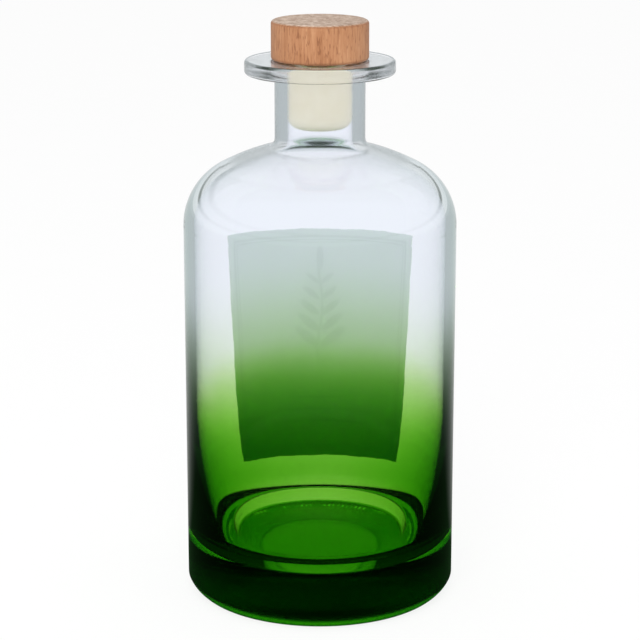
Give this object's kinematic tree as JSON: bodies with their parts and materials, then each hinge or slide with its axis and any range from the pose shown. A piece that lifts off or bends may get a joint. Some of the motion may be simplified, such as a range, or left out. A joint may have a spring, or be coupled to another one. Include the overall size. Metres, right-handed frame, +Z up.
{
  "type": "stoppered glass bottle",
  "caption": "Cylindrical glass bottle with a rounded shoulder, short neck and wide flat lip, fading from green to clear, closed by a wooden T-stopper, with a paper label.",
  "frame": {"origin": "centre of the standing ring, on the surface that the bottle stands on", "axes": "+Z up along the bottle's axis, +Y towards the face of the label"},
  "size_m": [0.082, 0.0823, 0.176],
  "materials": {
    "tinted_glass": "polished clear glass under a translucent green lacquer that fades out at mid height",
    "beech": "fine turned, thin matt lacquer",
    "synthetic_cork": "moulded, satin",
    "hot_melt": "cured, satin",
    "label_paper": "uncoated, aged"
  },
  "bodies": {
    "bottle": {"glass_bottle": "tinted_glass", "paper_label": "label_paper"},
    "stopper": {"stopper_head": "beech", "stopper_plug": "synthetic_cork", "stopper_adhesive": "hot_melt"}
  },
  "joints": [
    {"name": "stopper_lift", "type": "slide", "parent": "bottle", "child": "stopper", "axis": [0, 0, 1], "range_m": [0, 0.06]}
  ]
}
